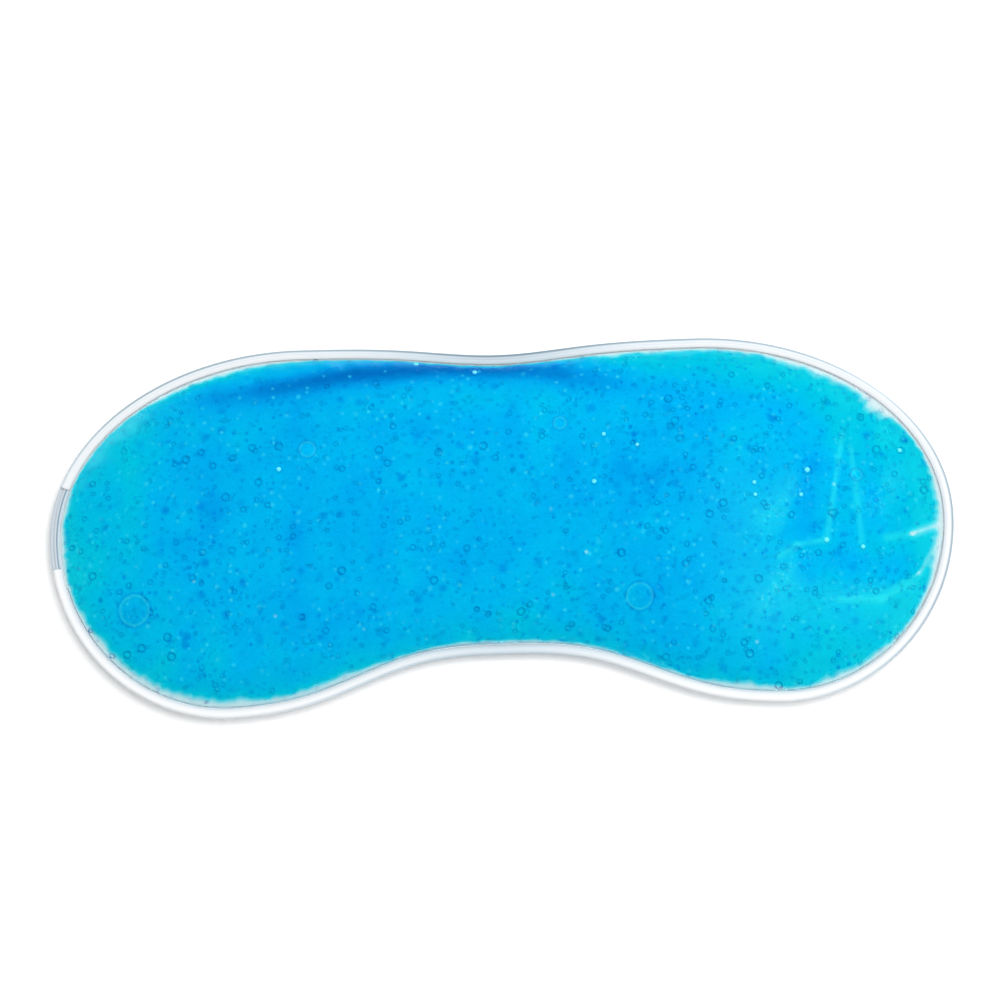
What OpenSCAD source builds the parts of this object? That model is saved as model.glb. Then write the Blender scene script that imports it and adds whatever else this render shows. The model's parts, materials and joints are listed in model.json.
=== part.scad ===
// Gel eye pillow: a sealed pouch of clear film, filled with soft gel and welded all round its edge.
// Millimetres. X runs from temple to temple, +Y points to the brow and +Z points up off the table.
// The origin is the middle of the underside of the pillow.
// The pouch is drawn in three stretches, a left lobe, a bridge and a right lobe, because it
// bends at the bridge: each film, the gel and the weld is one piece in the real pillow.

/* [Outline] */
// Length from temple to temple
pillow_length = 200; // [170:2:220]
// Rise of the brow side above the level of the two tips
brow_rise = 41.5; // [36:0.5:47]
// Drop of the cheek side below the level of the two tips
cheek_drop = 41; // [35:0.5:47]
// Distance from the middle to where the brow side starts to turn down
brow_turn = 44; // [38:1:50]
// Distance from the middle to where the cheek side starts to turn up
cheek_turn = 60; // [54:1:66]
// Depth of the notch over the nose
nose_notch = 12.5; // [6:0.5:16]
// Half width of the notch over the nose
notch_reach = 37; // [30:1:42]
// Depth of the shallow dip in the middle of the brow side
brow_dip = 2.5; // [0:0.5:4]

/* [Filling] */
// Thickness of the filled pouch, nearly reached in the middle of each lobe
fill_thickness = 13; // [10:0.5:16]
// Share of that thickness at the bridge
bridge_share = 0.85; // [0.7:0.05:1]
// Height of the middle of the weld above the table
rim_height = 2.2; // [1.6:0.1:4]
// Gap left between the gel and the weld
gel_gap = 1; // [0.5:0.25:3]

/* [Film] */
// Thickness of each film
film_gauge = 0.3; // [0.2:0.05:0.4]
// Width of the weld round the edge
weld_width = 2.2; // [1.8:0.1:4]
// Thickness of the weld in the middle of its width
weld_thickness = 1.2; // [0.8:0.1:1.6]
// Length of the seal that closes the filling port, at the left tip
port_length = 19; // [12:1:26]

/* [Bend] */
// Half width of the stretch that bends over the nose
bend_half = 14; // [12:1:18]

/* [Hidden] */

// How finely the surfaces are divided
lobe_steps = 28;
bridge_steps = 8;
cross_steps = 20;
profile_steps = 10;

// Shape of the outline
notch_power = 3;      // the notch has a broad, rounded bottom
dip_reach = 20;       // half width of the brow dip
tip_angle = 3;        // the outline closes with a short straight piece this near each tip

// Shape of the pouch
edge_power = 2.4;     // how broad the top of the pouch is across
edge_softness = 0.65; // how steeply it rises from the weld
tip_power = 4.5;      // how broad the top of the pouch is along its length
tip_softness = 0.75;
bridge_spread = 30;   // how far the thinner stretch at the bridge reaches
contact_share = 0.7;  // the underside is flat where the pouch is fuller than this
contact_softness = 1.3;
contact_radius = 10;  // disc in the flat underside of each lobe
lobe_middle = 55;     // from the middle of the pillow to the middle of a lobe

// Shape of the weld and of the port seal, which is two ridges with a groove between
weld_power = 4;       // how flat the middle of the weld is
weld_softness = 0.5;
port_ridge = 0.5;     // radius of each ridge

slack = 0.1;          // clearance between the gel and the films
step = 0.5;           // angle over which the outline's direction is measured

// ---- Outline: each side is a flat middle that turns down to the tip as part of an ellipse ----

function half_length(inset) = pillow_length / 2 - inset;
function along(angle, inset) = -half_length(inset) * cos(angle);
function split_angle(inset) = acos(bend_half / half_length(inset));

function turned(x, turn, inset, rise) =
    let (past = max(abs(x) - turn, 0) / (half_length(inset) - turn))
    rise * sqrt(max(0, 1 - past * past));

function brow_line(x, inset) =
    turned(x, brow_turn, inset, brow_rise - inset) - brow_dip * exp(-pow(x / dip_reach, 2));

function cheek_line(x, inset) =
    nose_notch * exp(-pow(abs(x) / notch_reach, notch_power))
    - turned(x, cheek_turn, inset, cheek_drop - inset);

// The tips stand a little below the middle of the width, which puts the origin in the middle.
quarter = [for (a = [0:90]) along(a, weld_width)];
brow_top = max([for (x = quarter) brow_line(x, weld_width)]) + weld_width;
cheek_low = min([for (x = quarter) cheek_line(x, weld_width)]) - weld_width;
tip_level = -(brow_top + cheek_low) / 2;

function brow_edge(x, inset) = tip_level + brow_line(x, inset);
function cheek_edge(x, inset) = tip_level + cheek_line(x, inset);

function spaced(from, to, steps) = [for (i = [0:steps]) from + i * (to - from) / steps];
function lobe_angles(inset) = spaced(tip_angle, split_angle(inset), lobe_steps);
function bridge_angles(inset) = spaced(split_angle(inset), 180 - split_angle(inset), bridge_steps);
crossings = [for (a = spaced(0, 180, cross_steps)) -cos(a)];

// ---- Pouch: how full it is, from 0 at the weld to 1 in the middle ----

function middle(x) = (brow_edge(x, weld_width) + cheek_edge(x, weld_width)) / 2;
function half_width(x) = (brow_edge(x, weld_width) - cheek_edge(x, weld_width)) / 2;
function hump(t, power, softness) = pow(max(0, 1 - pow(min(abs(t), 1), power)), softness);
function fullness(x, y) =
    hump(x / half_length(weld_width), tip_power, tip_softness)
    * hump((y - middle(x)) / half_width(x), edge_power, edge_softness);

function crest(x) = fill_thickness * (1 - (1 - bridge_share) * exp(-pow(x / bridge_spread, 2)));
function front_skin(x, y) =
    let (weld_top = rim_height + film_gauge)
    weld_top + (crest(x) - weld_top) * fullness(x, y);
function back_skin(x, y) =
    (rim_height - film_gauge)
    * pow(1 - min(1, fullness(x, y) / contact_share), contact_softness);

// A grid of points over one stretch of the pouch, on the surface that height gives.
function grid(angles, inset, height) = [
    for (a = angles)
        let (x = along(a, inset), low = cheek_edge(x, inset), high = brow_edge(x, inset))
        [for (t = crossings) let (y = (low + high) / 2 + t * (high - low) / 2) [x, y, height(x, y)]]
];

front_outside = function(x, y) front_skin(x, y);
front_inside = function(x, y) front_skin(x, y) - film_gauge;
back_outside = function(x, y) back_skin(x, y);
back_inside = function(x, y) back_skin(x, y) + film_gauge;
gel_top = function(x, y) max(front_inside(x, y) - slack, rim_height + slack / 2);
gel_underside = function(x, y) min(back_inside(x, y) + slack, rim_height - slack / 2);

function flat(lists) = [for (list = lists) each list];

// The solid between two grids of points of the same size.
module between(upper, lower) {
    rows = len(upper);
    cols = len(upper[0]);
    below = rows * cols;
    top = [
        for (i = [0:rows - 2], j = [0:cols - 2])
            let (a = i * cols + j, b = a + cols)
            each [[a, a + 1, b + 1], [a, b + 1, b]]
    ];
    underside = [for (f = top) [f[2] + below, f[1] + below, f[0] + below]];
    border = concat(
        [for (i = [0:rows - 2]) i * cols],
        [for (j = [0:cols - 2]) (rows - 1) * cols + j],
        [for (i = [rows - 1:-1:1]) i * cols + cols - 1],
        [for (j = [cols - 1:-1:1]) j]
    );
    sides = [
        for (k = [0:len(border) - 1])
            let (a = border[k], b = border[(k + 1) % len(border)])
            each [[a, b, b + below], [a, b + below, a + below]]
    ];
    polyhedron(concat(flat(upper), flat(lower)), concat(top, underside, sides));
}

module front_film(angles) {
    between(grid(angles, weld_width, front_outside), grid(angles, weld_width, front_inside));
}

module back_film(angles) {
    between(grid(angles, weld_width, back_inside), grid(angles, weld_width, back_outside));
}

module gel(angles) {
    inset = weld_width + gel_gap;
    between(grid(angles, inset, gel_top), grid(angles, inset, gel_underside));
}

module contact_disc() {
    translate([-lobe_middle, tip_level, 0])
        cylinder(h = film_gauge, r = contact_radius);
}

// ---- Weld: a section swept counterclockwise along the edge of the films ----

// Stations are [point, direction outwards] along the brow side or the cheek side.
function brow_point(a) = let (x = along(a, weld_width)) [x, brow_edge(x, weld_width)];
function cheek_point(a) = let (x = along(a, weld_width)) [x, cheek_edge(x, weld_width)];
function outwards(before, after) =
    let (way = (after - before) / norm(after - before))
    [way.y, -way.x];
function brow_station(a) = [brow_point(a), outwards(brow_point(a + step), brow_point(a - step))];
function cheek_station(a) = [cheek_point(a), outwards(cheek_point(a - step), cheek_point(a + step))];
function backwards(list) = [for (i = [len(list) - 1:-1:0]) list[i]];

// Half the thickness of each section, at a distance s across it from the films' edge.
weld_profile = function(s)
    max(film_gauge, weld_thickness / 2 * hump(2 * s / weld_width - 1, weld_power, weld_softness));
function ridge(across, centre) = sqrt(max(0, pow(port_ridge, 2) - pow(across - centre, 2)));
port_profile = function(s)
    max(film_gauge, ridge(s, port_ridge), ridge(s, weld_width - port_ridge));

function section(station, profile) =
    let (across = [for (a = spaced(0, 180, profile_steps)) weld_width * (1 - cos(a)) / 2])
    let (point = function(s, z) [each (station[0] + s * station[1]), rim_height + z])
    concat(
        [for (s = across) point(s, profile(s))],
        [for (s = backwards(across)) point(s, -profile(s))]
    );

module swept(stations, profile) {
    sections = [for (s = stations) section(s, profile)];
    size = len(sections[0]);
    rows = len(sections);
    sides = [
        for (i = [0:rows - 2], k = [0:size - 1])
            let (a = i * size + k, b = i * size + (k + 1) % size)
            each [[b, a, a + size], [b, a + size, b + size]]
    ];
    // A cap joins each point of the section's upper half to the one under it.
    start_cap = [
        for (k = [0:size / 2 - 2])
            let (under = size - 1 - k)
            each [[k, k + 1, under - 1], [k, under - 1, under]]
    ];
    last = (rows - 1) * size;
    end_cap = [for (f = start_cap) [f[2] + last, f[1] + last, f[0] + last]];
    polyhedron(flat(sections), concat(sides, start_cap, end_cap));
}

// The filling port spans the stations nearest the left tip whose edge lies within half its length.
tip_to_split = lobe_angles(weld_width);
function within_port(point) = abs(point.y) < port_length / 2;
brow_port_end = len([for (a = tip_to_split) if (within_port(brow_point(a))) a]);
cheek_port_end = len([for (a = tip_to_split) if (within_port(cheek_point(a))) a]) - 1;
function stretch(list, first, last) = [for (i = [first:last]) list[i]];

// ---- Front film ----

module front_film_left() {
    color("lightcyan") front_film(tip_to_split);
}

module front_film_bridge() {
    color("lightcyan") front_film(bridge_angles(weld_width));
}

module front_film_right() {
    mirror([1, 0, 0]) front_film_left();
}

// ---- Back film ----

module back_film_left() {
    color("azure") {
        back_film(tip_to_split);
        contact_disc();
    }
}

module back_film_bridge() {
    color("azure") back_film(bridge_angles(weld_width));
}

module back_film_right() {
    mirror([1, 0, 0]) back_film_left();
}

// ---- Gel ----

module gel_left() {
    color("deepskyblue") gel(lobe_angles(weld_width + gel_gap));
}

module gel_bridge() {
    color("deepskyblue") gel(bridge_angles(weld_width + gel_gap));
}

module gel_right() {
    mirror([1, 0, 0]) gel_left();
}

// ---- Weld round the edge, open at the filling port ----

module rim_weld_left_brow() {
    angles = stretch(tip_to_split, brow_port_end, lobe_steps);
    color("whitesmoke") swept([for (a = backwards(angles)) brow_station(a)], weld_profile);
}

module rim_weld_left_cheek() {
    angles = stretch(tip_to_split, cheek_port_end, lobe_steps);
    color("whitesmoke") swept([for (a = angles) cheek_station(a)], weld_profile);
}

module rim_weld_bridge_brow() {
    angles = backwards(bridge_angles(weld_width));
    color("whitesmoke") swept([for (a = angles) brow_station(a)], weld_profile);
}

module rim_weld_bridge_cheek() {
    angles = bridge_angles(weld_width);
    color("whitesmoke") swept([for (a = angles) cheek_station(a)], weld_profile);
}

module rim_weld_right() {
    brow = [for (a = backwards(tip_to_split)) brow_station(a)];
    cheek = [for (a = tip_to_split) cheek_station(a)];
    color("whitesmoke") mirror([1, 0, 0]) swept(concat(brow, cheek), weld_profile);
}

// ---- Seal that closes the filling port ----

module fill_port_seal() {
    brow = [for (a = backwards(stretch(tip_to_split, 0, brow_port_end))) brow_station(a)];
    cheek = [for (a = stretch(tip_to_split, 0, cheek_port_end)) cheek_station(a)];
    color("gainsboro") swept(concat(brow, cheek), port_profile);
}

front_film_left();
front_film_bridge();
front_film_right();
back_film_left();
back_film_bridge();
back_film_right();
gel_left();
gel_bridge();
gel_right();
rim_weld_left_brow();
rim_weld_left_cheek();
rim_weld_bridge_brow();
rim_weld_bridge_cheek();
rim_weld_right();
fill_port_seal();
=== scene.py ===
"""Looks for a gel eye pillow: clear film round blue gel with air bubbles, welded round its edge.

Metres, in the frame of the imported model: +X to the right temple, +Y to the brow, +Z up. Tables of
places on the pillow are in mm.
"""

import json
import math

import bmesh
import bpy
import numpy as np
from mathutils import Matrix, Vector, noise

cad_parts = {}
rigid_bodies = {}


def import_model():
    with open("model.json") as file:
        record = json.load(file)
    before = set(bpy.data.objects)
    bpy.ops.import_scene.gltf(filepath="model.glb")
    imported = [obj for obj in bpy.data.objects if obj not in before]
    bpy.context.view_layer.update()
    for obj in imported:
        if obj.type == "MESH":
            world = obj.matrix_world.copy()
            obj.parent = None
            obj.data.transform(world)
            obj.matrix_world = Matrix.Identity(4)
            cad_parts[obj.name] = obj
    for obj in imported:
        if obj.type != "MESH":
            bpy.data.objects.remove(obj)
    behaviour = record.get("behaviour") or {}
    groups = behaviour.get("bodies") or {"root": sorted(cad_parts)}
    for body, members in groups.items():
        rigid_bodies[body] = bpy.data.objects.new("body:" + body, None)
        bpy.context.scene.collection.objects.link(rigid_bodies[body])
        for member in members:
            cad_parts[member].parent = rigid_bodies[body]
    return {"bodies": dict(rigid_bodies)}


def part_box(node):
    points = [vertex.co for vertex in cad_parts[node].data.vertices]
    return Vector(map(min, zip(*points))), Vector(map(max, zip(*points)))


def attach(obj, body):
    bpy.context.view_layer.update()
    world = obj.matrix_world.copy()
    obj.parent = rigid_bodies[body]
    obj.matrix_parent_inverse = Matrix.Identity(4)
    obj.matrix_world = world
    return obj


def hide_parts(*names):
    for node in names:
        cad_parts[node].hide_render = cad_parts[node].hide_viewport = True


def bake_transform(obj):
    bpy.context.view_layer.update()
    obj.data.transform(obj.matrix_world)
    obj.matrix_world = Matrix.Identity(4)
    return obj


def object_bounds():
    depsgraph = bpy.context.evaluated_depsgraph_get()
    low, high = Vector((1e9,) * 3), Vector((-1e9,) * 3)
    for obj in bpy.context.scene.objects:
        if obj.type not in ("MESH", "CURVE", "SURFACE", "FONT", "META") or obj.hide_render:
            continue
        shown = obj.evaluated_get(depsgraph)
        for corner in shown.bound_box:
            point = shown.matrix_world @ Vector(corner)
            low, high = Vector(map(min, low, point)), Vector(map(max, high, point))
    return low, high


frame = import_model()
cad_box = [list(corner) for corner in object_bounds()]

MM = 0.001
SEED = 11

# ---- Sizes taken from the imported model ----

LOW, HIGH = (Vector(corner) for corner in cad_box)
_, FILM_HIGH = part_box("front_film_right")
WELD_LOW, WELD_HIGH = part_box("rim_weld_right")
PORT_LOW, PORT_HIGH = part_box("fill_port_seal")
HALF_LENGTH = HIGH.x
WELD_WIDTH = HIGH.x - FILM_HIGH.x
RIM_Z = (WELD_LOW.z + WELD_HIGH.z) / 2
WELD_HALF = (WELD_HIGH.z - WELD_LOW.z) / 2

# ---- Shape of the outline, as in the model's own outline ----

BROW_RISE = 41.5 * MM
CHEEK_DROP = 41 * MM
BROW_TURN = 44 * MM
CHEEK_TURN = 60 * MM
NOSE_NOTCH = 12.5 * MM
NOTCH_REACH = 37 * MM
NOTCH_POWER = 3
BROW_DIP = 2.5 * MM
DIP_REACH = 20 * MM
TIP_LEVEL = HIGH.y - BROW_RISE
FILM = 0.3 * MM
OUTLINE_STEPS = 320


def turned(x, turn, inset, rise):
    """Half height of a side that is level in the middle and turns down to the tip as an ellipse."""
    past = np.clip((np.abs(x) - turn) / (HALF_LENGTH - inset - turn), 0, 1)
    return rise * np.sqrt(1 - past**2)


def brow_edge(x, inset):
    dip = BROW_DIP * np.exp(-((x / DIP_REACH) ** 2))
    return TIP_LEVEL + turned(x, BROW_TURN, inset, BROW_RISE - inset) - dip


def cheek_edge(x, inset):
    notch = NOSE_NOTCH * np.exp(-((np.abs(x) / NOTCH_REACH) ** NOTCH_POWER))
    return TIP_LEVEL - turned(x, CHEEK_TURN, inset, CHEEK_DROP - inset) + notch


def outline(inset, steps=OUTLINE_STEPS):
    """Closed loop of 2 * steps points, counterclockwise from the right tip, inset from the edge."""
    angle = np.linspace(0, math.pi, steps + 1)
    turn = np.concatenate([angle[:-1], math.pi + angle[:-1]])
    x = (HALF_LENGTH - inset) * np.cos(turn)
    y = np.where(turn < math.pi, brow_edge(x, inset), cheek_edge(x, inset))
    return np.stack([x, y], axis=1)


# ---- How full the pouch is, from 0 at the weld to 1 in the middle ----

EDGE_POWER = 2.4
EDGE_SOFTNESS = 0.65
TIP_POWER = 4.5
TIP_SOFTNESS = 0.75
BRIDGE_SHARE = 0.85
BRIDGE_SPREAD = 30 * MM
CONTACT_SHARE = 0.7
CONTACT_SOFTNESS = 1.3
FILL_THICKNESS = 13 * MM


def hump(t, power, softness):
    """1 where t is 0, falling to 0 at t of 1 or -1."""
    return (1 - np.clip(np.abs(t), 0, 1) ** power) ** softness


def middle(x):
    return (brow_edge(x, WELD_WIDTH) + cheek_edge(x, WELD_WIDTH)) / 2


def fullness(x, y):
    half_width = (brow_edge(x, WELD_WIDTH) - cheek_edge(x, WELD_WIDTH)) / 2
    across = (y - middle(x)) / np.maximum(half_width, FILM)
    along = x / (HALF_LENGTH - WELD_WIDTH)
    return hump(along, TIP_POWER, TIP_SOFTNESS) * hump(across, EDGE_POWER, EDGE_SOFTNESS)


# ---- Creases, waves and puckers of the film ----


def segment_distance(x, y, start, end):
    """Distance from each point to the segment between two places in mm."""
    sx, sy = (c * MM for c in start)
    dx, dy = end[0] * MM - sx, end[1] * MM - sy
    along = np.clip(((x - sx) * dx + (y - sy) * dy) / (dx * dx + dy * dy), 0, 1)
    return np.hypot(x - sx - along * dx, y - sy - along * dy)


def near_segments(x, y, segments):
    """Sum over segments of strength, fading with the distance from each."""
    total = np.zeros_like(x)
    for start, end, half_width, strength in segments:
        distance = segment_distance(x, y, start, end)
        total += strength * np.exp(-((distance / (half_width * MM)) ** 2))
    return total


# Creases in the film, in mm: start, end, half width, height. A negative height is a valley.
CREASES = (
    ((75.5, 17.0), (70.5, -7.0), 0.55, 0.20),
    ((77.0, 14.0), (78.5, -9.0), 0.55, 0.16),
    ((60.0, -10.5), (64.0, -8.0), 0.7, 0.20),
    ((64.0, -8.0), (70.5, -7.0), 0.7, 0.24),
    ((97.0, -3.0), (90.0, -5.5), 0.8, 0.40),
    ((90.0, -5.5), (84.0, -6.5), 0.8, 0.26),
    ((73.0, -20.0), (82.0, -20.0), 0.8, 0.20),
    ((82.0, -20.0), (92.0, -14.0), 0.8, 0.24),
    ((68.5, 9.0), (65.5, -5.0), 2.6, -0.24),
    ((67.0, -11.0), (90.0, -13.0), 2.6, -0.20),
    ((81.0, 17.0), (81.5, 3.0), 1.8, -0.16),
)

# Slow waves of the film, in mm: rise, and then the slant, length and phase of the sine that runs
# along the pillow and of the sine that runs across it.
WAVES = (
    (0.12, (0.0, 11.0, 1.3), (0.0, 9.0, 0.4)),
    (0.10, (0.6, 6.3, 0.0), (-0.3, 7.1, 0.0)),
)

PUCKER_RISE = 0.45 * MM
PUCKERS_ROUND = 37
PUCKER_DRIFTS = 11
FINE_PUCKERS_ROUND = 83
FINE_PUCKER_SHARE = 0.6


def waves(x, y):
    total = np.zeros_like(x)
    for rise, (x_slant, x_length, x_phase), (y_slant, y_length, y_phase) in WAVES:
        along = np.sin((x + x_slant * y) / (x_length * MM) + x_phase)
        across = np.sin((y + y_slant * x) / (y_length * MM) + y_phase)
        total += rise * MM * along * across
    return total


def puckers(x, y):
    """Small folds that run inward from the weld, unevenly spaced round the edge."""
    around = np.arctan2(y, x)
    coarse = np.sin(PUCKERS_ROUND * around + 2 * np.sin(PUCKER_DRIFTS * around))
    fine = np.sin(FINE_PUCKERS_ROUND * around)
    return PUCKER_RISE * (coarse + FINE_PUCKER_SHARE * fine)


def relief(x, y):
    """Height of the film's creases, waves and puckers above the smooth pouch."""
    full = np.clip(fullness(x, y), 0, 1)
    height = near_segments(x, y, CREASES) * MM + waves(x, y) + puckers(x, y) * (1 - full) ** 3
    return height * np.sqrt(full)


def front_skin(x, y):
    """Height of the front film's outside."""
    thinning = (1 - BRIDGE_SHARE) * np.exp(-((x / BRIDGE_SPREAD) ** 2))
    weld_top = RIM_Z + FILM
    full = FILL_THICKNESS * (1 - thinning) - weld_top
    return weld_top + full * fullness(x, y) + relief(x, y)


def back_skin(x, y):
    """Height of the back film's outside: flat on the table, and up to the weld at its edge."""
    rise = 1 - np.clip(fullness(x, y) / CONTACT_SHARE, 0, 1)
    return (RIM_Z - FILM) * rise**CONTACT_SOFTNESS


# ---- Mesh building ----

SPINE = 52 * MM
EDGE_CROWDING = 1.8
JOIN_DISTANCE = 1e-7


def new_object(name, verts, faces, smooth=True):
    mesh = bpy.data.meshes.new(name)
    mesh.from_pydata([tuple(v) for v in verts], [], [tuple(f) for f in faces])
    mesh.update()
    piece = bpy.data.objects.new(name, mesh)
    bpy.context.scene.collection.objects.link(piece)
    if smooth:
        mesh.polygons.foreach_set("use_smooth", [True] * len(mesh.polygons))
    return piece


def grid_faces(rows, cols, offset=0):
    """Quads over a grid of points, with its last column joined to the first."""
    i, j = np.meshgrid(np.arange(rows - 1), np.arange(cols), indexing="ij")
    k = (j + 1) % cols
    quads = np.stack([i * cols + j, (i + 1) * cols + j, (i + 1) * cols + k, i * cols + k], axis=-1)
    return quads.reshape(-1, 4) + offset


def plan(edge, rings):
    """Points from the pouch's middle line out to the edge loop, and their distances to the edge.

    Both have the shape (rings + 1, points in the loop), and the rows crowd towards the edge."""
    spine_x = np.clip(edge[:, 0], -SPINE, SPINE)
    spine = np.stack([spine_x, middle(spine_x)], axis=1)
    out = 1 - (1 - np.linspace(0, 1, rings + 1)) ** EDGE_CROWDING
    points = spine + (edge - spine) * out[:, None, None]
    reach = np.linalg.norm(edge - spine, axis=1)
    return points, (1 - out)[:, None] * reach


def weld_close(piece):
    """Joins the points of a mesh that fall together, and turns all its faces outward."""
    bm = bmesh.new()
    bm.from_mesh(piece.data)
    bmesh.ops.remove_doubles(bm, verts=bm.verts, dist=JOIN_DISTANCE)
    bmesh.ops.recalc_face_normals(bm, faces=bm.faces)
    bm.to_mesh(piece.data)
    bm.free()
    piece.data.polygons.foreach_set("use_smooth", [True] * len(piece.data.polygons))


def store(mesh, name, values):
    """Keeps one number from 0 to 1 for each point of a mesh, for its material to read."""
    layer = mesh.attributes.new(name, "FLOAT", "POINT")
    layer.data.foreach_set("value", np.clip(values, 0, 1).ravel().astype(np.float32))


def skin(name, points, upper, lower, paint=None):
    """The closed solid between two height fields over the same plan.

    paint holds named values, with one value for each point of the plan. The points' places at rest
    are kept in "rest", so that drawn marks keep to the points they were drawn on."""
    rows, cols = upper.shape
    top = np.dstack([points, upper]).reshape(-1, 3)
    bottom = np.dstack([points, lower]).reshape(-1, 3)
    faces = [*grid_faces(rows, cols)]
    faces += [f[::-1] for f in grid_faces(rows, cols, offset=rows * cols)]
    rim = (rows - 1) * cols
    for j in range(cols):
        k = (j + 1) % cols
        faces.append((rim + j, rim + j + rows * cols, rim + k + rows * cols, rim + k))
    verts = np.concatenate([top, bottom])
    piece = new_object(name, verts, faces)
    rest = piece.data.attributes.new("rest", "FLOAT_VECTOR", "POINT")
    rest.data.foreach_set("vector", verts.ravel().astype(np.float32))
    for layer, values in (paint or {}).items():
        store(piece.data, layer, np.stack([values, values]))
    weld_close(piece)
    return piece


# ---- Shader building. A source is a (node, output) pair. ----


def material(name):
    mat = bpy.data.materials.new(name)
    mat.use_nodes = True
    mat.node_tree.nodes.clear()
    return mat, mat.node_tree


def node(tree, kind, **values):
    """New node; values set its inputs of those names, or else its own properties."""
    made = tree.nodes.new(kind)
    for key, value in values.items():
        if key in made.inputs:
            made.inputs[key].default_value = value
        else:
            setattr(made, key, value)
    return made


def link(tree, start, out, end, into):
    tree.links.new(start.outputs[out], end.inputs[into])


def attribute(tree, name):
    return node(tree, "ShaderNodeAttribute", attribute_name=name)


def mix(tree, factor, first, second):
    """Mix Shader of two shaders; factor is a number or a source."""
    made = node(tree, "ShaderNodeMixShader")
    if isinstance(factor, tuple):
        link(tree, *factor, made, 0)
    else:
        made.inputs[0].default_value = factor
    link(tree, first, 0, made, 1)
    link(tree, second, 0, made, 2)
    return made


def finish_material(tree, shader):
    link(tree, shader, 0, node(tree, "ShaderNodeOutputMaterial"), "Surface")


def shadow_clear(tree, shader, tint):
    """Lets light through to the table: shadow rays see a clear tinted film in place of the shader."""
    path = node(tree, "ShaderNodeLightPath")
    clear = node(tree, "ShaderNodeBsdfTransparent", Color=(*tint, 1))
    return mix(tree, (path, "Is Shadow Ray"), shader, clear)


def ramp(tree, source, stops):
    """Colour that runs through stops of (position, colour) as the source goes from 0 to 1."""
    made = node(tree, "ShaderNodeValToRGB")
    elements = made.color_ramp.elements
    while len(elements) < len(stops):
        elements.new(0.5)
    for element, (position, colour) in zip(elements, stops):
        element.position = position
        element.color = (*colour, 1)
    link(tree, *source, made, 0)
    return made, "Color"


def maths(tree, operation, first, second=0.0):
    """Math node of two values, each a number or a source."""
    made = node(tree, "ShaderNodeMath", operation=operation)
    for i, value in enumerate((first, second)):
        if isinstance(value, tuple):
            link(tree, *value, made, i)
        else:
            made.inputs[i].default_value = value
    return made, "Value"


def product(tree, first, second):
    return maths(tree, "MULTIPLY", first, second)


def graded(tree, source, start, end, smooth=False, base=0.0):
    """Goes from base to 1 as the source goes from start to end."""
    made = node(tree, "ShaderNodeMapRange")
    if smooth:
        made.interpolation_type = "SMOOTHSTEP"
    made.inputs["From Min"].default_value = start
    made.inputs["From Max"].default_value = end
    made.inputs["To Min"].default_value = base
    link(tree, *source, made, "Value")
    return made, "Result"


def colour_mix(tree, factor, first, second):
    """Mix of two colours by a source. Each colour is three numbers or a source."""
    made = node(tree, "ShaderNodeMix", data_type="RGBA")
    link(tree, *factor, made, "Factor")
    for socket, colour in ((made.inputs["A"], first), (made.inputs["B"], second)):
        if isinstance(colour[0], bpy.types.Node):
            tree.links.new(colour[0].outputs[colour[1]], socket)
        else:
            socket.default_value = (*colour, 1)
    return made, "Result"


SPOT_CORE = 0.2


def specks(tree, size, reach, share):
    """Soft round spots, one to a cell of a size in metres; share is the part of cells with one."""
    cells = node(tree, "ShaderNodeTexVoronoi", Scale=1 / size, Randomness=1.0)
    link(tree, attribute(tree, "rest"), "Vector", cells, "Vector")
    spot = graded(tree, (cells, "Distance"), reach, SPOT_CORE * reach, smooth=True)
    draw = node(tree, "ShaderNodeSeparateColor")
    link(tree, cells, "Color", draw, 0)
    return product(tree, spot, graded(tree, (draw, "Red"), 1 - share, 1))


def circle(tree, x, y, radius, width):
    """A soft circle drawn on the gel, 1 on its line and 0 beyond its width."""
    level = node(tree, "ShaderNodeVectorMath", operation="MULTIPLY")
    link(tree, attribute(tree, "rest"), "Vector", level, 0)
    level.inputs[1].default_value = (1, 1, 0)
    away = node(tree, "ShaderNodeVectorMath", operation="DISTANCE")
    link(tree, level, "Vector", away, 0)
    away.inputs[1].default_value = (x, y, 0)
    off_line = maths(tree, "SUBTRACT", (away, "Value"), radius)
    return graded(tree, maths(tree, "ABSOLUTE", off_line), width, 0, smooth=True)


# ---- Materials ----

# Colour of the gel from where it is thin to where it is deep.
GEL_STOPS = (
    (0.00, (0.88, 0.98, 0.99)),
    (0.05, (0.22, 0.88, 0.96)),
    (0.12, (0.005, 0.74, 0.87)),
    (0.24, (0.000, 0.68, 0.88)),
    (0.45, (0.000, 0.61, 0.96)),
    (0.62, (0.000, 0.54, 0.96)),
    (0.76, (0.000, 0.41, 0.88)),
    (1.00, (0.000, 0.13, 0.55)),
)
# Colour that the gel's painted light lightens it towards.
LIGHT_GEL = (0.03, 0.90, 0.96)
GEL_INSIDE = (0.80, 0.985, 1.0)
GEL_SHADOW = (0.94, 0.95, 0.95)
MILK_SHARE = 0.28

# Large bubbles that lie flat under the film: x, y and radius in mm.
FLAT_BUBBLES = (
    (-80.5, -17.5, 3.4),
    (29.5, -18.0, 2.9),
    (-42.0, 16.5, 1.8),
    (13.5, 21.0, 1.45),
    (78.0, 7.5, 1.3),
)
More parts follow.
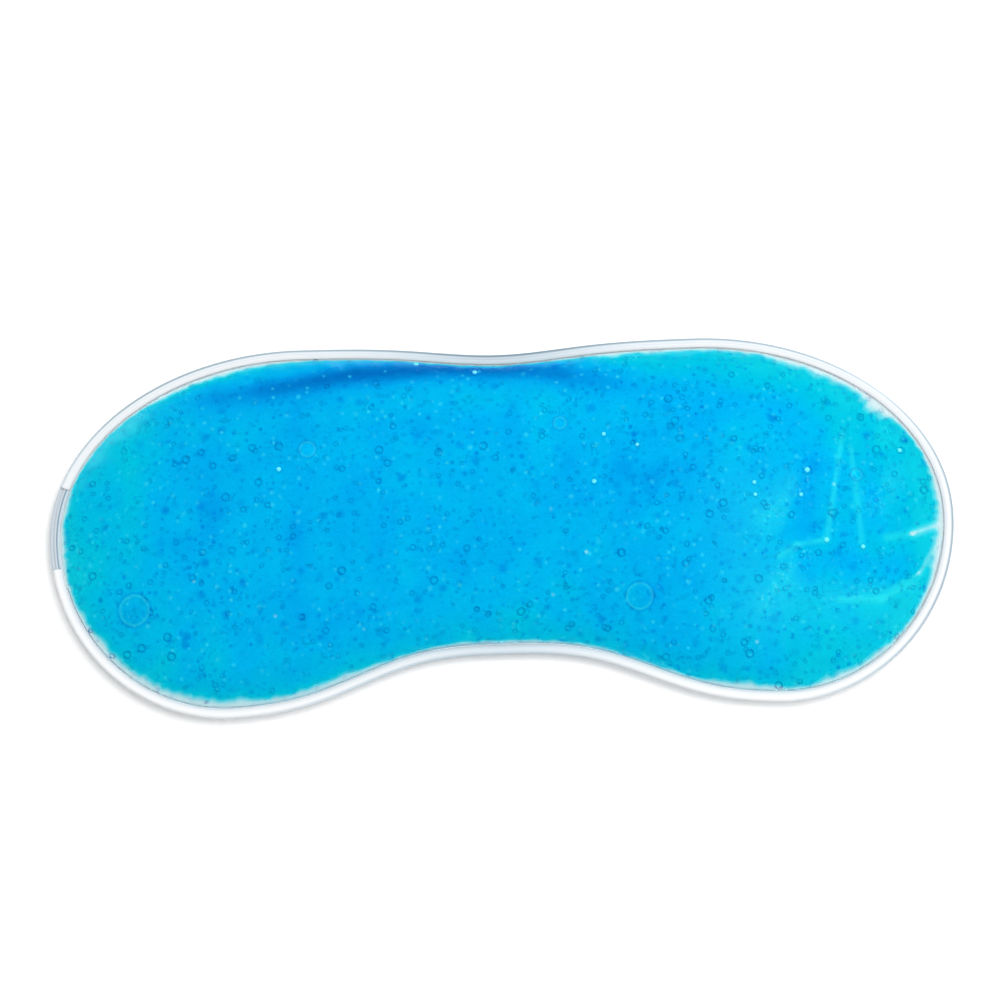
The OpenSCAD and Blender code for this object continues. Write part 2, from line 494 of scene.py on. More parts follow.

# Bubbles too fine or too deep to model, as dark spots, and light and glint spots that are painted
# highlights: cell in metres, radius as a share of it, part of the cells that have one, strength and
# colour. They show more in crowds, which a noise of that size makes.
DARK_SPOT = (0.000, 0.22, 0.74)
LIGHT_SPOT = (0.06, 0.88, 1.0)
GLINT_SPOT = (0.45, 0.97, 1.0)
GEL_SPOTS = (
    (4.3 * MM, 0.36, 0.75, 0.66, DARK_SPOT),
    (2.5 * MM, 0.36, 0.70, 0.66, DARK_SPOT),
    (1.45 * MM, 0.42, 0.60, 0.70, DARK_SPOT),
    (3.1 * MM, 0.26, 0.60, 0.70, LIGHT_SPOT),
    (1.9 * MM, 0.32, 0.60, 0.80, LIGHT_SPOT),
    (6.1 * MM, 0.10, 0.40, 1.00, GLINT_SPOT),
)
CROWD_SIZE = 9 * MM
CROWD_RANGE = (0.35, 0.65)
LEAST_CROWDED = 0.45

# Rings round the flat bubbles, painted light and shade at the bubble's edge: scale of the bubble's
# radius, strength and colour.
FLAT_RINGS = ((0.93, 0.40, LIGHT_SPOT), (1.1, 0.30, DARK_SPOT))
RING_WIDTH = 0.45 * MM

FROST_COLOUR = (0.16, 0.93, 1.0)
FROST_GRAIN = 0.8 * MM
FROST_GRAIN_REACH = 0.5


def gel_spots(tree, colour):
    """The colour with fine bubbles drawn over it."""
    crowd = node(tree, "ShaderNodeTexNoise", Scale=1 / CROWD_SIZE)
    link(tree, attribute(tree, "rest"), "Vector", crowd, "Vector")
    crowding = graded(tree, (crowd, 0), *CROWD_RANGE, base=LEAST_CROWDED)
    where = product(tree, (attribute(tree, "solid"), "Fac"), crowding)
    for size, reach, share, strength, spot_colour in GEL_SPOTS:
        spots = product(tree, specks(tree, size, reach, share), where)
        colour = colour_mix(tree, product(tree, spots, strength), colour, spot_colour)
    return colour


def gel_colour(tree):
    """Cyan where the gel is thin and azure where it is deep, with its painted light and its marks."""
    deep = ramp(tree, (attribute(tree, "depth"), "Fac"), GEL_STOPS)
    # Painted light: the "light" value lightens the gel on the slack lobe, the crease ridges and the
    # frost.
    colour = colour_mix(tree, (attribute(tree, "light"), "Fac"), deep, LIGHT_GEL)
    colour = gel_spots(tree, colour)
    for x, y, radius in FLAT_BUBBLES:
        for scale, strength, ring_colour in FLAT_RINGS:
            ring = circle(tree, x * MM, y * MM, radius * scale * MM, RING_WIDTH)
            colour = colour_mix(tree, product(tree, ring, strength), colour, ring_colour)
    grains = specks(tree, FROST_GRAIN, FROST_GRAIN_REACH, 1.0)
    frosted = product(tree, grains, (attribute(tree, "frost"), "Fac"))
    return colour_mix(tree, frosted, colour, FROST_COLOUR)


def gel_material():
    """Refracting gel with a milky share, so that it glows with its own colour."""
    mat, tree = material("blue_gel")
    tint = gel_colour(tree)
    geometry = node(tree, "ShaderNodeNewGeometry")
    inside = colour_mix(tree, (geometry, "Backfacing"), tint, GEL_INSIDE)
    glass = node(tree, "ShaderNodeBsdfGlass", Roughness=0.02, IOR=1.36)
    link(tree, *inside, glass, "Color")
    milk = node(tree, "ShaderNodeBsdfDiffuse")
    link(tree, *tint, milk, "Color")
    body = mix(tree, MILK_SHARE, glass, milk)
    finish_material(tree, shadow_clear(tree, body, GEL_SHADOW))
    return mat


# What a bubble lets through, from its middle to its rim.
BUBBLE_STOPS = (
    (0.00, (1.0, 1.0, 1.0)),
    (0.14, (1.0, 1.0, 1.0)),
    (0.34, (0.20, 0.42, 0.70)),
    (0.75, (0.06, 0.20, 0.50)),
    (1.00, (0.30, 0.50, 0.80)),
)
# The side of each bubble that is painted pale, painted light passing through it.
LIT_CRESCENT_SIDE = (0.8, -0.8, 0.0)
CRESCENT_RANGE = (0.1, 0.9)
CRESCENT_COLOUR = (0.9, 1.0, 1.0)
BUBBLE_GLOSS = 0.03
GLINT_POWER = 4
GLINT_SHARE = 0.6
WHITE = (1.0, 1.0, 1.0)


def bubble_material():
    """Air in gel: clear in the middle, with a dark ring painted where it bends light away.

    The ring opens in a pale crescent on one side, painted light from that side. The bubbles' own
    "glint" is a painted highlight: it says how far each one catches the light instead."""
    mat, tree = material("air_bubble")
    ring = ramp(tree, (node(tree, "ShaderNodeLayerWeight", Blend=0.5), "Facing"), BUBBLE_STOPS)
    toward = node(tree, "ShaderNodeVectorMath", operation="DOT_PRODUCT")
    link(tree, node(tree, "ShaderNodeNewGeometry"), "Normal", toward, 0)
    toward.inputs[1].default_value = LIT_CRESCENT_SIDE
    crescent = graded(tree, (toward, "Value"), *CRESCENT_RANGE)
    opened = colour_mix(tree, crescent, ring, CRESCENT_COLOUR)
    glint = (attribute(tree, "glint"), "Fac")
    through = colour_mix(tree, glint, opened, WHITE)
    clear = node(tree, "ShaderNodeBsdfTransparent")
    link(tree, *through, clear, "Color")
    gloss = node(tree, "ShaderNodeBsdfGlossy", Roughness=0.22, Color=(0.6, 1, 1, 1))
    shell = mix(tree, BUBBLE_GLOSS, clear, gloss)
    light = node(tree, "ShaderNodeBsdfDiffuse", Color=(0.20, 0.88, 1.0, 1))
    # Painted highlight: a share of pale lit diffuse that grows with the glint.
    bright = product(tree, maths(tree, "POWER", glint, GLINT_POWER), GLINT_SHARE)
    finish_material(tree, shadow_clear(tree, mix(tree, bright, shell, light), WHITE))
    return mat


FILM_SHINE = 0.4
FILM_SHADOW = (0.97, 0.97, 0.97)


def film_material():
    """Clear film that shines on its outside only."""
    mat, tree = material("clear_film")
    clear = node(tree, "ShaderNodeBsdfTransparent", Color=(0.985, 0.992, 0.996, 1))
    gloss = node(tree, "ShaderNodeBsdfGlossy", Roughness=0.25, Color=(1, 1, 1, 1))
    fresnel = node(tree, "ShaderNodeFresnel", IOR=1.45)
    outside = maths(tree, "SUBTRACT", 1, (node(tree, "ShaderNodeNewGeometry"), "Backfacing"))
    shine = product(tree, product(tree, (fresnel, "Fac"), outside), FILM_SHINE)
    finish_material(tree, shadow_clear(tree, mix(tree, shine, clear, gloss), FILM_SHADOW))
    return mat


# Colour of the welds from their plain to their darkest painted shade lines.
WELD_STOPS = (
    (0.00, (0.88, 0.885, 0.89)),
    (0.28, (0.60, 0.69, 0.75)),
    (0.50, (0.37, 0.44, 0.49)),
    (1.00, (0.03, 0.12, 0.18)),
)
PORT_STOPS = (
    (0.00, (0.60, 0.71, 0.78)),
    (0.36, (0.55, 0.61, 0.66)),
    (1.00, (0.05, 0.18, 0.28)),
)
WELD_HAZE = 0.80
WELD_SHADOW = (0.27, 0.27, 0.28)


def weld_material(name, stops):
    """Welded film: milky, greyer to dark where its "line" value, mostly painted shade, rises."""
    mat, tree = material(name)
    lined = ramp(tree, (attribute(tree, "line"), "Fac"), stops)
    glass = node(tree, "ShaderNodeBsdfGlass", Roughness=0.08, IOR=1.48)
    link(tree, *lined, glass, "Color")
    haze = node(tree, "ShaderNodeBsdfDiffuse")
    link(tree, *lined, haze, "Color")
    finish_material(tree, shadow_clear(tree, mix(tree, WELD_HAZE, glass, haze), WELD_SHADOW))
    return mat


# ---- Pieces ----

PARTS = ("left", "bridge", "right")
WELD_PARTS = ("left_brow", "left_cheek", "bridge_brow", "bridge_cheek", "right")


def bend_with_pillow(piece):
    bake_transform(piece)


def place(piece, mat, nodes):
    """Gives a piece that crosses the bridge its material, hides the model's parts it stands for and
    bakes its place into its mesh.
    """
    piece.data.materials.append(mat)
    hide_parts(*nodes)
    bend_with_pillow(piece)


# ---- Films ----

FILM_RINGS = 90


def make_films(film):
    points, _ = plan(outline(WELD_WIDTH), FILM_RINGS)
    x, y = points[..., 0], points[..., 1]
    front = front_skin(x, y)
    back = back_skin(x, y)
    for name, upper, lower in (("front", front, front - FILM), ("back", back + FILM, back)):
        piece = skin(f"{name}_film", points, upper, lower)
        place(piece, film, [f"{name}_film_{part}" for part in PARTS])


# ---- Gel ----

# Where the gel thins out before the weld, as (place in degrees counterclockwise from the right tip
# round the outline's own angle, spread in degrees, width in mm).
PALE_EDGES = (
    (29, 4, 5.0),
    (44, 9, 2.0),
    (72, 14, 0.9),
    (0, 14, 1.3),
    (352, 4, 1.2),
    (130, 12, 1.8),
    (180, 10, 0.6),
    (205, 12, 1.8),
    (228, 12, 2.3),
    (246, 5, 1.8),
    (303, 5, 2.2),
    (320, 9, 1.3),
)
PALE_WIDTH = 1.1 * MM

# How ragged the pale edge is: share of its width, detail and height of each noise round it.
RAGGED = ((0.45, 9, 0.5), (0.5, 50, 3.5))

GEL_RINGS = 110
GEL_GAP = 0.15 * MM
GEL_ROUND = 0.9 * MM
THINNEST_EDGE = 0.02
CLEARANCE = 0.06 * MM

# The band under the brow edge painted deep blue, painted shade along the far side of the pouch: x and
# y of its middle in mm, and its strength.
BROW_SHADE_BAND = (
    (-78, 26.0, 0.0),
    (-64, 29.5, 0.60),
    (-48, 31.5, 0.90),
    (-32, 34.2, 1.0),
    (-15, 35.3, 1.0),
    (5, 34.8, 0.95),
    (18, 32.5, 0.75),
    (30, 29.0, 0.42),
    (60, 24.0, 0.30),
    (74, 18.0, 0.0),
)
BAND_HALF = 3.9 * MM
BAND_DEPTH = 0.92

# Depth of the gel's colour where it is thinnest, what a full thickness adds, what the slack
# stretches take off and the least depth that is left.
THIN_DEPTH = 0.10
FULL_DEPTH = 0.52
DEPTH_POWER = 0.8
SLACK_PALER = 0.15
BROW_SLACK_PALER = 0.14
# The far left tip is painted paler: partly for its thinner gel, partly as painted light against the
# shade on its slope.
FAR_TIP_PALER = 0.07
# Painted shade: how much deeper the gel's colour is painted in the film's valleys.
VALLEY_SHADE = 0.75
LEAST_DEPTH = 0.13
# Painted highlights along the crease ridges, and painted light round the frost patches:
CREASE_LIGHT = 3.0
FROST_LIGHT = 0.3

# Clouds in the gel's depth: strength, size in mm and height of each noise.
CLOUDS = ((0.12, 15, 2.0), (0.14, 6, 5.0))
FROST_CLOUD = (2.5 * MM, 2.0)
FROST_BASE = 0.6

# Where the slack stretches start and how far on they are fully slack, in mm.
SLACK_FROM = (44, 30)
BROW_SLACK_FROM = (15, 20)
BROW_SLACK_ABOVE = (24, 8)
FAR_TIP_FROM = (52, 25)

# Part of the pale edge's width where the gel's colour sets in, and over which it becomes full.
COLOUR_FROM = (0.15, 0.85)

# Pale lines where the film is pressed down to the gel's edge: start, end, half width, strength.
STREAKS = (
    ((98.0, -2.5), (90.0, -5.5), 0.8, 0.85),
    ((90.0, -5.5), (84.0, -6.5), 0.6, 0.60),
    ((96.0, -7.0), (91.0, -14.0), 0.6, 0.50),
    ((91.0, -14.0), (84.0, -18.5), 0.5, 0.45),
)

# Patches of fine frost under the film, in mm: start, end, half width, strength.
FROST = (
    ((66.0, 6.0), (58.0, -3.0), 2.0, 0.80),
    ((65.0, -11.0), (56.0, -21.0), 2.6, 1.00),
    ((82.0, 1.0), (86.0, 5.0), 2.4, 0.70),
    ((70.0, -20.0), (90.0, -17.0), 1.2, 0.70),
)

# Stretches of the slack right lobe painted lighter, painted light: start, end, half width, strength.
GLOWS = (
    ((52.0, 2.0), (54.0, -20.0), 9.0, 0.20),
    ((62.0, -20.0), (84.0, -22.0), 7.0, 0.20),
    ((80.0, 3.0), (87.0, 8.0), 3.0, 0.20),
    ((64.0, 6.0), (57.0, -2.0), 3.0, 0.22),
)


def rising(value, start, width):
    """0 up to the start, and evenly up to 1 over the width after it."""
    return np.clip((value - start) / width, 0, 1)


def clouds(x, y, size, height):
    """Soft noise over the pillow, from -1 to 1; another height gives another noise."""
    values = [noise.noise((a / size, b / size, height)) for a, b in zip(x.flat, y.flat)]
    return np.array(values).reshape(x.shape)


def ring_noise(degrees, detail, height):
    """Noise round the outline that meets itself at the end; more detail makes it finer."""
    turn = np.radians(degrees)
    return clouds(detail * np.cos(turn), detail * np.sin(turn), 1, height)


def pale_width():
    """How wide the gel's pale edge is, all the way round."""
    degrees = np.arange(2 * OUTLINE_STEPS) * 180 / OUTLINE_STEPS
    width = np.full(2 * OUTLINE_STEPS, PALE_WIDTH)
    for centre, spread, extra in PALE_EDGES:
        away = np.abs((degrees - centre + 180) % 360 - 180)
        width += extra * MM * np.exp(-((away / spread) ** 2))
    ragged = sum(share * ring_noise(degrees, detail, height) for share, detail, height in RAGGED)
    return width * (1 + ragged)


def gel_heights(x, y):
    """Heights of the gel's top and bottom."""
    return front_skin(x, y) - FILM - CLEARANCE, back_skin(x, y) + FILM + CLEARANCE


def brow_shade_band(x, y):
    band_x, band_y, strength = np.array(BROW_SHADE_BAND).T
    off_band = (y - np.interp(x, band_x * MM, band_y * MM)) / BAND_HALF
    return np.exp(-(off_band**2)) * np.interp(x, band_x * MM, strength)


def gel_depth(x, y, thickness, crease):
    """How deep the gel's colour is: with its thickness, less where the pouch is slack and at the far
    left tip, and deeper in the painted shade of the film's valleys and of the band under the brow.
    """
    cloud = sum(strength * clouds(x, y, size * MM, height) for strength, size, height in CLOUDS)
    filled = np.clip(thickness / FILL_THICKNESS, 0, 1) ** DEPTH_POWER
    slack = rising(x / MM, *SLACK_FROM)
    brow_slack = rising(x / MM, *BROW_SLACK_FROM) * rising(y / MM, *BROW_SLACK_ABOVE)
    far_tip = rising(-x / MM, *FAR_TIP_FROM)
    depth = THIN_DEPTH + FULL_DEPTH * filled + cloud
    depth -= SLACK_PALER * slack + BROW_SLACK_PALER * brow_slack + FAR_TIP_PALER * far_tip
    depth += VALLEY_SHADE * np.maximum(-crease, 0)
    depth = np.maximum(depth, LEAST_DEPTH)
    return depth + (BAND_DEPTH - depth) * brow_shade_band(x, y)


def gel_paint(x, y, thickness, inward):
    """How deep, how much painted light and how frosted the gel looks, from 0 to 1.

    inward is the distance from the gel's edge as a share of its pale edge's width."""
    filled = rising(inward, *COLOUR_FROM)
    solid = filled**2 * (3 - 2 * filled) * (1 - near_segments(x, y, STREAKS))
    crease = near_segments(x, y, CREASES)
    frost = near_segments(x, y, FROST) * (FROST_BASE + clouds(x, y, *FROST_CLOUD))
    paint = {
        "depth": gel_depth(x, y, thickness, crease),
        # Painted light: glows on the slack lobe, highlights on the crease ridges and a halo round the
        # frost.
        "light": near_segments(x, y, GLOWS) + CREASE_LIGHT * crease + FROST_LIGHT * frost,
        "frost": frost,
        "solid": np.ones_like(x),
    }
    return {name: values * solid for name, values in paint.items()}


def make_gel(mat):
    points, reach = plan(outline(WELD_WIDTH + GEL_GAP), GEL_RINGS)
    x, y = points[..., 0], points[..., 1]
    top, bottom = gel_heights(x, y)
    level = (top + bottom) / 2
    half = np.maximum(top - bottom, CLEARANCE) / 2
    rounded = np.sqrt(1 - (1 - np.clip(reach / GEL_ROUND, 0, 1)) ** 2)
    half = half * np.maximum(rounded, THINNEST_EDGE)
    paint = gel_paint(x, y, 2 * half, reach / pale_width())
    piece = skin("gel", points, level + half, level - half, paint)
    place(piece, mat, [f"gel_{part}" for part in PARTS])


# ---- Air bubbles ----

BUBBLES = 2200
LEAST_RADIUS = 0.24
MEAN_EXTRA_RADIUS = 0.16
MOST_RADIUS = 1.0
NEAR_TOP_POWER = 2.5
GLINT_DRAW = (-4, 1)
GEL_ABOVE = 0.15 * MM
GEL_BELOW = 0.25 * MM
LEAST_FULLNESS = 0.12
FLAT_HALF_HEIGHT = 0.3 * MM
FLAT_DEPTH = 0.5 * MM
FLAT_GLINT = 0.8
BRIGHT_RISE = 0.16 * MM

# Bubbles that catch the light, drawn at full glint as painted highlights: x, y and radius in mm.
BRIGHT_BUBBLES = (
    (-48.3, 12.1, 0.85),
    (20.5, 7.4, 0.85),
    (67.0, 8.6, 1.0),
    (65.4, 3.1, 0.65),
    (-5.0, 34.0, 0.75),
    (-18.0, 36.5, 0.75),
    (30.2, 15.3, 0.55),
    (55.4, 3.3, 0.6),
    (55.3, 6.0, 0.65),
    (23.0, 18.0, 0.7),
    (88.1, 13.3, 0.65),
    (70.5, -7.0, 0.65),
    (78.5, -8.5, 0.65),
)


def ball(segments=14, rings=8):
    """Unit sphere as points and faces."""
    verts = [(0, 0, 1)]
    for i in range(1, rings):
        polar = math.pi * i / rings
        width = math.sin(polar)
        for j in range(segments):
            around = 2 * math.pi * j / segments
            verts.append((width * math.cos(around), width * math.sin(around), math.cos(polar)))
    verts.append((0, 0, -1))
    faces = []
    for j in range(segments):
        k = (j + 1) % segments
        faces.append((0, 1 + j, 1 + k))
        for i in range(rings - 2):
            a = 1 + i * segments
            faces.append((a + j, a + segments + j, a + segments + k, a + k))
        a = 1 + (rings - 2) * segments
        faces.append((a + j, len(verts) - 1, a + k))
    return np.array(verts), faces


def flat_bubble(unit, x, y, radius):
    """A bubble pressed flat against the film above it."""
    points = unit * (radius, radius, FLAT_HALF_HEIGHT) + (x, y, -FLAT_DEPTH)
    top, _ = gel_heights(points[:, 0], points[:, 1])
    points[:, 2] += top
    return points


def bright_bubble(unit, x, y, radius):
    """A bubble that pokes out of the gel a little, into the film."""
    top, _ = gel_heights(np.array(x), np.array(y))
    return unit * radius + (x, y, float(top) + BRIGHT_RISE - radius)


def loose_bubble(unit, rng):
    """A bubble at a random place, mostly near the top, and its glint; None if it has no room."""
    x = rng.uniform(LOW.x, HIGH.x)
    y = rng.uniform(LOW.y, HIGH.y)
    radius = min(LEAST_RADIUS + rng.exponential(MEAN_EXTRA_RADIUS), MOST_RADIUS) * MM
    down = rng.uniform(0, 1) ** NEAR_TOP_POWER
    glint = max(rng.uniform(*GLINT_DRAW), 0)
    top, bottom = gel_heights(np.array(x), np.array(y))
    room = float(top) - float(bottom) - 2 * radius - GEL_ABOVE - GEL_BELOW
    if fullness(np.array(x), np.array(y)) < LEAST_FULLNESS or room < 0:
        return None
    return unit * radius + (x, y, float(top) - radius - GEL_ABOVE - down * room), glint


def make_bubbles(mat):
    rng = np.random.default_rng(SEED)
    unit, unit_faces = ball()
    bubbles = [(flat_bubble(unit, *np.array(b) * MM), FLAT_GLINT) for b in FLAT_BUBBLES]
    bubbles += [(bright_bubble(unit, *np.array(b) * MM), 1.0) for b in BRIGHT_BUBBLES]
    while len(bubbles) < BUBBLES:
        bubble = loose_bubble(unit, rng)
        if bubble:
            bubbles.append(bubble)
    verts = np.concatenate([points for points, _ in bubbles])
    starts = range(0, len(verts), len(unit))
    faces = [tuple(start + i for i in face) for start in starts for face in unit_faces]
    piece = new_object("air_bubbles", verts, faces)
    # Each bubble's glint, its painted highlight.
    store(piece.data, "glint", np.repeat([glint for _, glint in bubbles], len(unit)))
    piece.data.materials.append(mat)
    bend_with_pillow(piece)


# ---- Welds ----

WELD_STEPS = 480
WELD_POINTS = 31
WELD_EDGE_HALF = 0.16 * MM
SHOULDER_SHARE = 0.6
FLAP_HALF = 0.20 * MM

BAND_POWER = 4
BAND_SOFTNESS = 0.5
BRIDGE_SHADE_SPREAD = 24 * MM

# How dark the weld's painted shade lines are: at the least, and what the brow side, the right tip and
# the port's end of the brow side add.
EDGE_DARK = 0.06
BROW_DARK = 0.50
LEFT_BROW_DARK = 0.25
MIDDLE_DARK = 0.18
# Painted light and shade: the gel's blue light on the weld's inner half, and bluish shade at the
# bridge.
INNER_GEL_LIGHT = 0.22
BRIDGE_SHADE = 0.22
# The port seal's groove is painted dark, painted shade between its ridges.
GROOVE_DARK = 0.90
FLAP_DARK = 0.36

# Places of the lines as shares of the weld's width from the films' edge: middle and spread, or
# start and width.
OUTER_LINE = (0.85, 0.16)
MIDDLE_LINE = (0.50, 0.08)
INNER_FADE = (0, 0.55)
GROOVE_LINE = (0.30, 0.08)
FLAP_START = (0.40, 0.10)
FLAP_END = (0.90, 0.15)

# Ridges of the port seal: distance of the middle from the films' edge, and half thickness.
PORT_RIDGES = (
    (0.30 * MM, 0.28 * MM),
    (1.05 * MM, 0.40 * MM),
    (WELD_WIDTH - 0.35 * MM, 0.33 * MM),
)


def outward(loop):
    """Unit direction out of the loop at each of its points."""
    along = np.roll(loop, -1, axis=0) - np.roll(loop, 1, axis=0)
    along /= np.linalg.norm(along, axis=1)[:, None]
    return np.stack([along[:, 1], -along[:, 0]], axis=1)


def weld_half(across):
    """Half thickness of the weld: a rounded band that rises gently from the films' edge."""
    band = WELD_HALF * hump(2 * across / WELD_WIDTH - 1, BAND_POWER, BAND_SOFTNESS)
    climb = np.clip(across / (SHOULDER_SHARE * WELD_WIDTH), 0, 1)
    shoulder = FILM + (WELD_HALF - FILM) * np.sin(climb * math.pi / 2)
    return np.maximum(np.minimum(band, shoulder), WELD_EDGE_HALF)


def port_half(across):
    """Half thickness of the port seal: round ridges on a flat flap."""
    half = np.full_like(across, FLAP_HALF)
    for centre, radius in PORT_RIDGES:
        half = np.maximum(half, np.sqrt(np.maximum(0, radius**2 - (across - centre) ** 2)))
    return half


def stripe(share, centre, spread):
    """1 on a line along the weld, fading either side of it."""
    return np.exp(-(((share - centre) / spread) ** 2))


def weld_lines(share, loop, out):
    """How dark the weld's painted shade is at each share of its width.

    Its outer edge is painted darkest on the brow side and at the right tip. Its inner half is painted
    with the gel's blue light, and its stretch at the bridge with bluish painted shade."""
    brow = np.clip(out[:, 1:], 0, 1)
    right = np.clip(out[:, :1], 0, 1)
    left = np.clip(-out[:, :1], 0, 1)
    bridge = np.exp(-((loop[:, :1] / BRIDGE_SHADE_SPREAD) ** 2))
    edge = EDGE_DARK + BROW_DARK * np.maximum(brow**2, right) + LEFT_BROW_DARK * brow * left
    outer_line = edge * stripe(share, *OUTER_LINE)
    middle_line = MIDDLE_DARK * brow * stripe(share, *MIDDLE_LINE)
    inner = INNER_GEL_LIGHT * (1 - rising(share, *INNER_FADE)) * (1 - brow / 2)
    return outer_line + middle_line + inner + BRIDGE_SHADE * bridge


def port_lines(share, loop, out):
    """How dark the port seal is across its width: painted shade in the groove between its ridges, and
    a greyish flap.
    """
    groove = GROOVE_DARK * stripe(share, *GROOVE_LINE)
    flap = FLAP_DARK * rising(share, *FLAP_START) * (1 - rising(share, *FLAP_END))
    return np.broadcast_to(np.maximum(groove, flap), (len(loop), share.shape[1]))


def swept(name, loop, out, half, lines):
    """Sweeps a section, thin in z and as wide as the weld, along the films' edge."""
    across = WELD_WIDTH * (1 - np.cos(np.linspace(0, math.pi, WELD_POINTS))) / 2
    height = half(across)
    side = np.concatenate([across, across[::-1]])
    rise = np.concatenate([height, -height[::-1]])
    xy = loop[:, None, :] + out[:, None, :] * side[None, :, None]
    z = np.broadcast_to(RIM_Z + rise, xy.shape[:2])
    verts = np.dstack([xy, z])
    rows, cols = verts.shape[:2]
    faces = [tuple(f) for f in grid_faces(rows, cols)]
    faces += [tuple(range(cols))[::-1], tuple(range((rows - 1) * cols, rows * cols))]
    piece = new_object(name, verts.reshape(-1, 3), faces)
    store(piece.data, "line", lines(side[None, :] / WELD_WIDTH, loop, out))
    weld_close(piece)
    return piece


def make_welds(weld, port):
    """The rim weld from one side of the filling port round to the other, and the port's seal."""
    loop = outline(WELD_WIDTH, WELD_STEPS)
    out = outward(loop)
    at_port = (loop[:, 0] < 0) & (loop[:, 1] > PORT_LOW.y) & (loop[:, 1] < PORT_HIGH.y)
    first, *_, last = np.flatnonzero(at_port)
    seam = np.arange(first, last + 1)
    rest = np.arange(last, first + len(loop) + 1) % len(loop)
    rim = swept("rim_weld", loop[rest], out[rest], weld_half, weld_lines)
    place(rim, weld, [f"rim_weld_{part}" for part in WELD_PARTS])
    seal = swept("port_seal", loop[seam], out[seam], port_half, port_lines)
    seal.data.materials.append(port)
    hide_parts("fill_port_seal")
    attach(seal, "left_lobe")


# ---- Stage ----

TABLE_HALF = 3.0
TABLE_WHITE = (0.96, 0.96, 0.96, 1)
TABLE_GAP = 0.05 * MM
TIP_ARM = HALF_LENGTH + 3 * MM
BULGE_ARM = 15 * MM

# Brightness of the backdrop, and how far from the pillow the table starts and ends its change to
# the same brightness.
BACKDROP = 1.35
TABLE_NEAR = 0.25
TABLE_FAR = 0.60

WORLD_LIGHT = 0.47
WORLD_IN_GLOSS = 0.03

# Square lamps aimed at the pillow: name, place, side, power in watts, and whether film reflects it.
LAMPS = (
    ("key", (0.42, 0.36, 0.88), 1.30, 17.5, False),
    ("sheen", (-0.85, 0.85, 0.20), 0.40, 1.2, True),
)

MOST_BOUNCES = 20
MOST_CLEAR_BOUNCES = 32

CAMERA_TARGET = (-0.2 * MM, 5.1 * MM, 5 * MM)
CAMERA_DISTANCE = 0.62
CAMERA_ELEVATION = 79
CAMERA_ROLL = -1.75
CAMERA_LENS = 101.3


def table_material():
    """White, and evenly lit far from the pillow, so that no horizon shows."""
    mat, tree = material("table")
    white = node(tree, "ShaderNodeBsdfDiffuse", Color=TABLE_WHITE)
    glow = node(tree, "ShaderNodeEmission", Strength=BACKDROP)
    distance = node(tree, "ShaderNodeVectorMath", operation="LENGTH")
    link(tree, node(tree, "ShaderNodeNewGeometry"), "Position", distance, 0)
    far = graded(tree, (distance, "Value"), TABLE_NEAR, TABLE_FAR, smooth=True)
    finish_material(tree, mix(tree, far, white, glow))
    return mat


def lower_table(table):
    """Keeps the table just under the pillow when the right lobe moves.

    The table is as high as the lower of two points that move with the lobe: one past its tip, and
    one that sinks as the bridge's underside does when the lobe folds up."""
    driver = table.driver_add("location", 2).driver
    driver.type = "MIN"
    for arm in (TIP_ARM, -BULGE_ARM):
        point = bpy.data.objects.new("table_height", None)
        point.parent = frame["bodies"]["right_lobe"]
        point.location = (arm, 0, -TABLE_GAP)
        bpy.context.scene.collection.objects.link(point)
        height = driver.variables.new()
        height.type = "TRANSFORMS"
        height.targets[0].id = point
        height.targets[0].transform_type = "LOC_Z"


def make_table():
    corners = [(x, y, 0) for x, y in ((-1, -1), (1, -1), (1, 1), (-1, 1))]
    table = new_object("table", TABLE_HALF * np.array(corners), [(0, 1, 2, 3)], smooth=False)
    lower_table(table)
    table.data.materials.append(table_material())


def make_lamp(name, where, side, power, in_gloss):
    light = bpy.data.lights.new(name, "AREA")
    light.size = side
    light.energy = power
    lamp = bpy.data.objects.new(name, light)
    lamp.visible_glossy = in_gloss
    lamp.location = where
    lamp.rotation_euler = (-Vector(where)).to_track_quat("-Z", "Y").to_euler()
    bpy.context.scene.collection.objects.link(lamp)


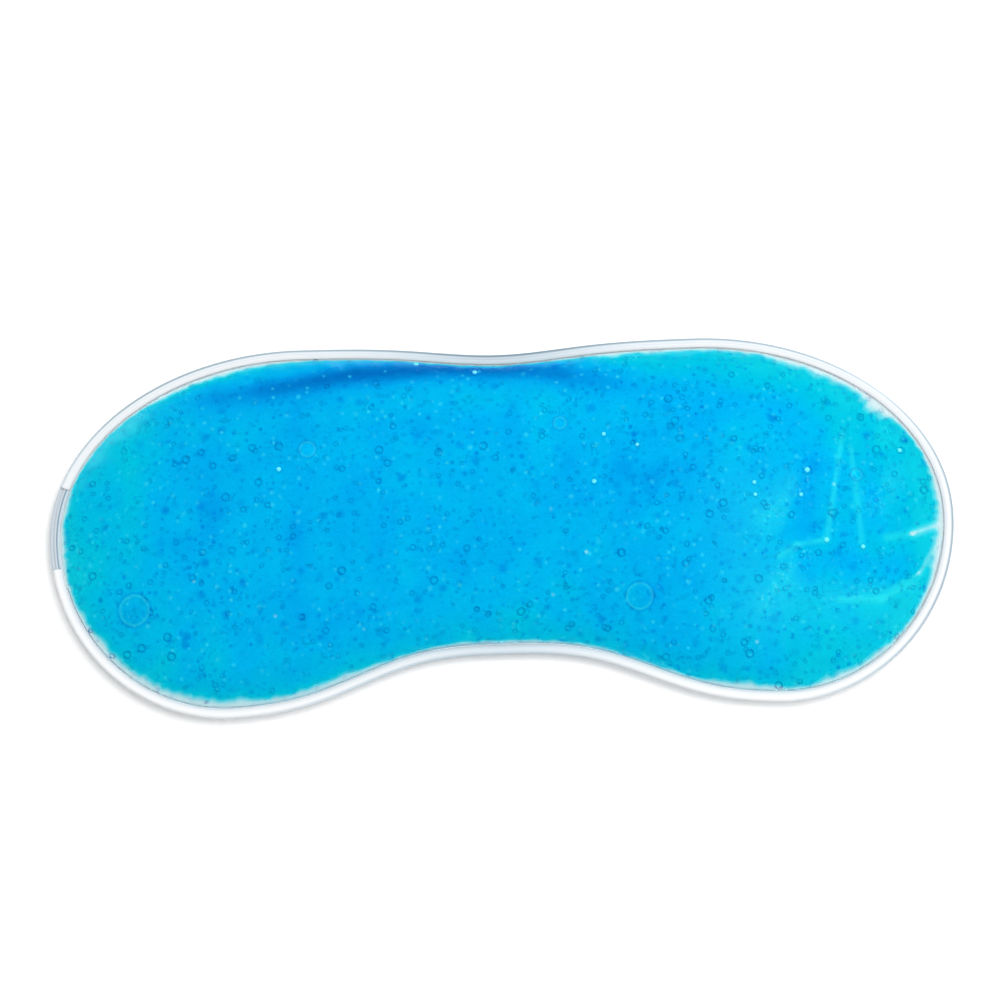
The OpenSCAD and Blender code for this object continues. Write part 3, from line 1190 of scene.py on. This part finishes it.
def make_world():
    """White all round: dim in the film's gloss, and as bright as the backdrop where it is seen."""
    world = bpy.data.worlds.new("studio")
    world.use_nodes = True
    tree = world.node_tree
    background = tree.nodes["Background"]
    background.inputs["Color"].default_value = (*WHITE, 1)
    path = node(tree, "ShaderNodeLightPath")
    strength = node(tree, "ShaderNodeMix", data_type="FLOAT")
    link(tree, path, "Is Glossy Ray", strength, "Factor")
    strength.inputs["A"].default_value = WORLD_LIGHT
    strength.inputs["B"].default_value = WORLD_IN_GLOSS
    seen = node(tree, "ShaderNodeMix", data_type="FLOAT")
    link(tree, path, "Is Camera Ray", seen, "Factor")
    link(tree, strength, "Result", seen, "A")
    seen.inputs["B"].default_value = BACKDROP
    link(tree, seen, "Result", background, "Strength")
    bpy.context.scene.world = world


def make_camera():
    """The photo's view: nearly from above, a little from the cheek side."""
    elevation = math.radians(CAMERA_ELEVATION)
    target = Vector(CAMERA_TARGET)
    back = Vector((0, -math.cos(elevation), math.sin(elevation)))
    where = target + CAMERA_DISTANCE * back
    data = bpy.data.cameras.new("camera")
    data.lens = CAMERA_LENS
    camera = bpy.data.objects.new("camera", data)
    look = (target - where).to_track_quat("-Z", "Y").to_matrix()
    roll = Matrix.Rotation(math.radians(CAMERA_ROLL), 3, "Z")
    camera.rotation_euler = (look @ roll).to_euler()
    camera.location = where
    bpy.context.scene.collection.objects.link(camera)
    bpy.context.scene.camera = camera


def set_render():
    scene = bpy.context.scene
    scene.view_settings.view_transform = "Standard"
    scene.cycles.use_denoising = True
    scene.cycles.denoising_input_passes = "RGB_ALBEDO"
    scene.cycles.max_bounces = MOST_BOUNCES
    scene.cycles.transmission_bounces = MOST_BOUNCES
    scene.cycles.transparent_max_bounces = MOST_CLEAR_BOUNCES
    scene.cycles.caustics_refractive = False
    scene.cycles.caustics_reflective = False


make_films(film_material())
make_gel(gel_material())
make_bubbles(bubble_material())
make_welds(weld_material("welded_film", WELD_STOPS), weld_material("port_weld", PORT_STOPS))
make_table()
for lamp_values in LAMPS:
    make_lamp(*lamp_values)
make_world()
make_camera()
set_render()
